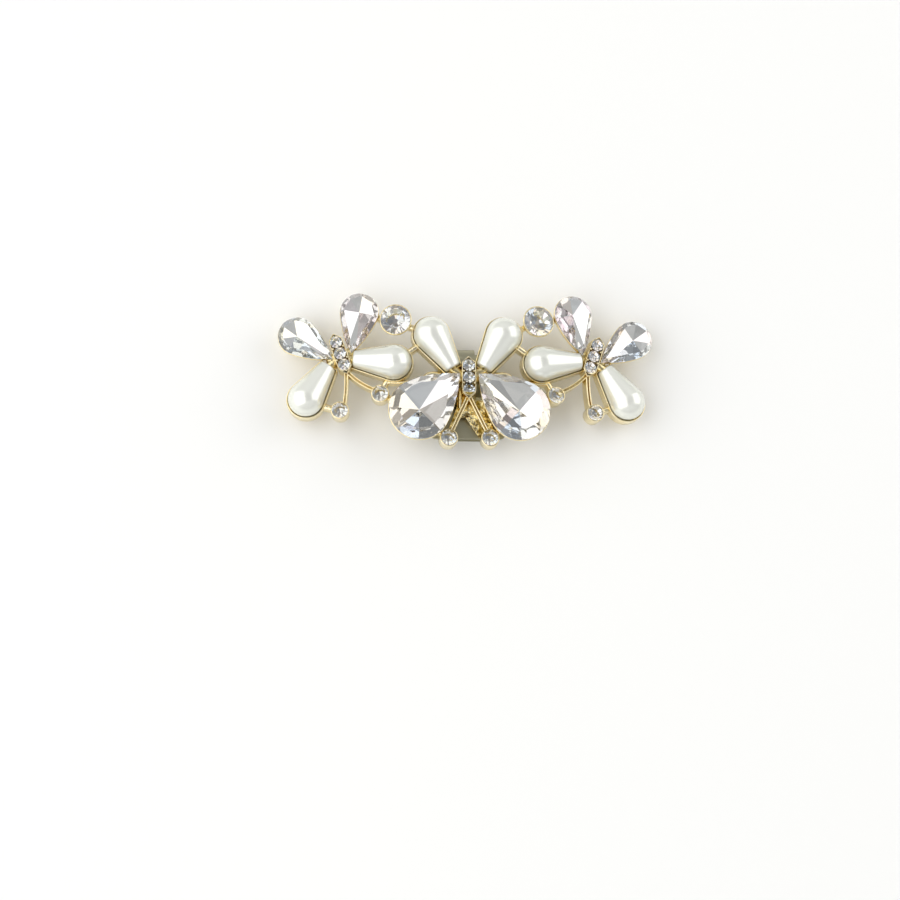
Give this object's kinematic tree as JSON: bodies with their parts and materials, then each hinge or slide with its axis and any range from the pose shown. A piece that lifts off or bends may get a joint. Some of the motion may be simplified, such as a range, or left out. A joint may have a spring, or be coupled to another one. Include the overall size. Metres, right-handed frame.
{
  "type": "shoe clip",
  "caption": "Shoe clip of three butterflies in a row, with imitation pearls and clear foiled stones in a pale gold frame on a folded nickel spring clip.",
  "frame": {"origin": "on the surface that the spring clip's jaw lies on, straight below the middle butterfly's body", "axes": "+X along the row of butterflies to the wearer's view right, +Y towards the heel and the clip's fold, +Z out of the jewelled face"},
  "size_m": [0.0646, 0.0271, 0.0103],
  "materials": {
    "gold_plate": "polished",
    "nickel_plate": "polished",
    "foiled_glass": "faceted",
    "imitation_pearl": "pearlescent"
  },
  "bodies": {
    "root": {"gold_frame": "gold_plate", "shoe_clip": "nickel_plate", "big_pear_left": "foiled_glass", "big_pear_right": "foiled_glass", "inner_pear_left": "foiled_glass", "inner_pear_right": "foiled_glass", "outer_pear_left": "foiled_glass", "outer_pear_right": "foiled_glass", "round_stone_left": "foiled_glass", "round_stone_right": "foiled_glass", "centre_tip_left": "foiled_glass", "centre_tip_right": "foiled_glass", "inner_tip_left": "foiled_glass", "inner_tip_right": "foiled_glass", "outer_tip_left": "foiled_glass", "outer_tip_right": "foiled_glass", "centre_pearl_left": "imitation_pearl", "centre_pearl_right": "imitation_pearl", "inner_pearl_left": "imitation_pearl", "inner_pearl_right": "imitation_pearl", "outer_pearl_left": "imitation_pearl", "outer_pearl_right": "imitation_pearl", "body_stone_centre_1": "foiled_glass", "body_stone_centre_2": "foiled_glass", "body_stone_centre_3": "foiled_glass", "body_stone_left_1": "foiled_glass", "body_stone_left_2": "foiled_glass", "body_stone_left_3": "foiled_glass", "body_stone_right_1": "foiled_glass", "body_stone_right_2": "foiled_glass", "body_stone_right_3": "foiled_glass"}
  },
  "joints": []
}
